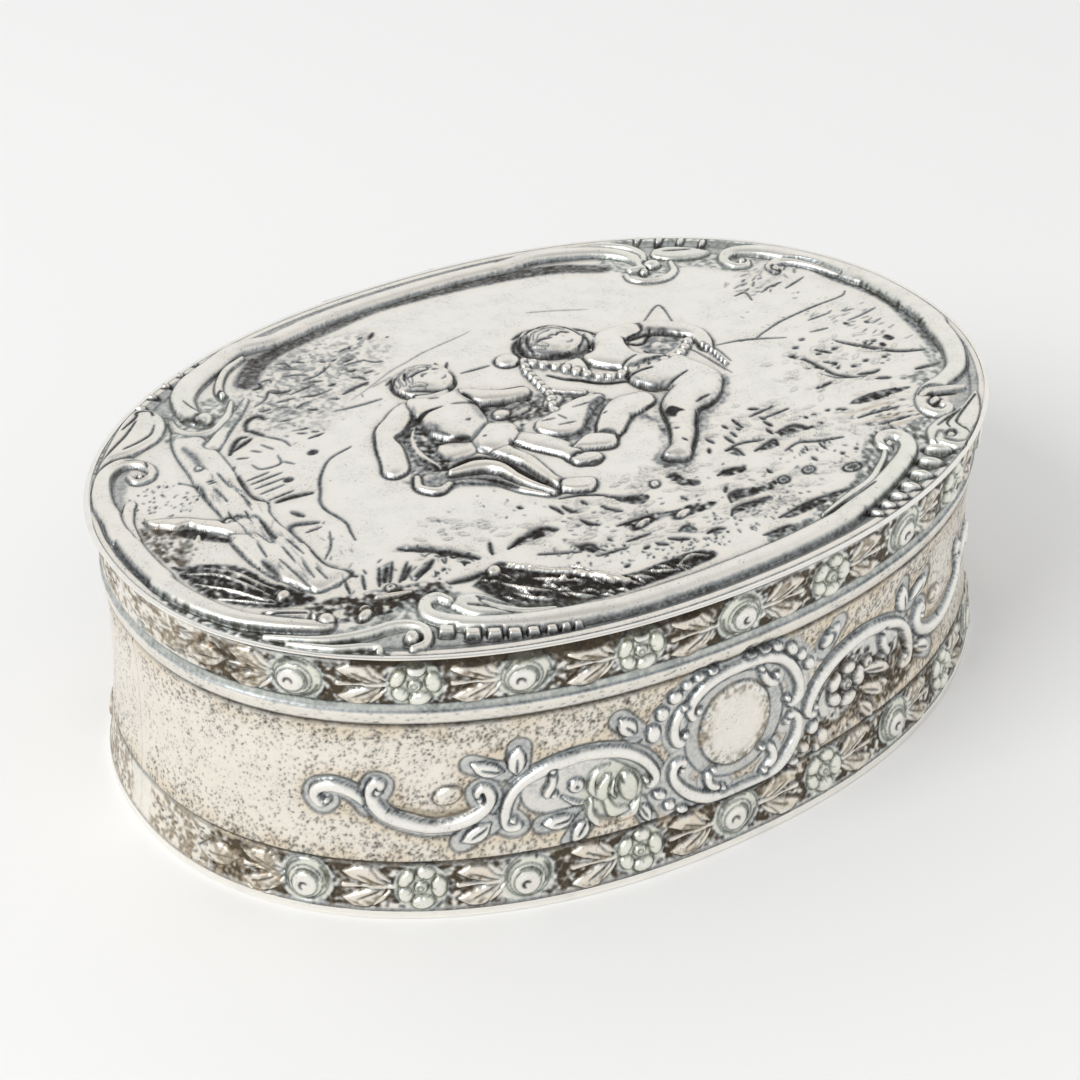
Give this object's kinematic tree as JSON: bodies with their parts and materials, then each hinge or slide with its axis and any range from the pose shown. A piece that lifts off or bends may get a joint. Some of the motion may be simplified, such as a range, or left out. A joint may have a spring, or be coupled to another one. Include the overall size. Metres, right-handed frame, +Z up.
{
  "type": "oval silver keepsake box",
  "caption": "Oval embossed silver keepsake box with waisted walls, flower bands, a scroll-framed domed lid and a small hinge at the back.",
  "frame": {"origin": "middle of the flat underside of the bottom sheet, in the plane the box stands on", "axes": "+X along the oval's long axis, to the right seen from the front; +Y towards the hinge at the back; +Z up"},
  "size_m": [0.0964, 0.0707, 0.0315],
  "materials": {
    "embossed_silver": "worn embossed silver with dark patina in the hollows",
    "polished_silver": "hand-polished bright silver",
    "gilt_inside": "thin worn gilding",
    "hinge_silver": "plain drawn silver tube and wire"
  },
  "bodies": {
    "box": {"wall_front": "embossed_silver", "wall_back": "embossed_silver", "base_plate": "polished_silver", "mouth_bezel": "gilt_inside", "hinge_bearer_box": "hinge_silver", "box_knuckle_left": "hinge_silver", "box_knuckle_middle": "hinge_silver", "box_knuckle_right": "hinge_silver", "hinge_pin": "hinge_silver"},
    "lid": {"lid_sheet": "embossed_silver", "lid_rim": "polished_silver", "hinge_bearer_lid": "hinge_silver", "lid_knuckle_left": "hinge_silver", "lid_knuckle_right": "hinge_silver"}
  },
  "joints": [
    {"name": "lid_hinge", "type": "hinge", "parent": "box", "child": "lid", "pos_m": [0, 0.0349, 0.0277], "axis": [-1, 0, 0], "range_deg": [0, 100]}
  ]
}
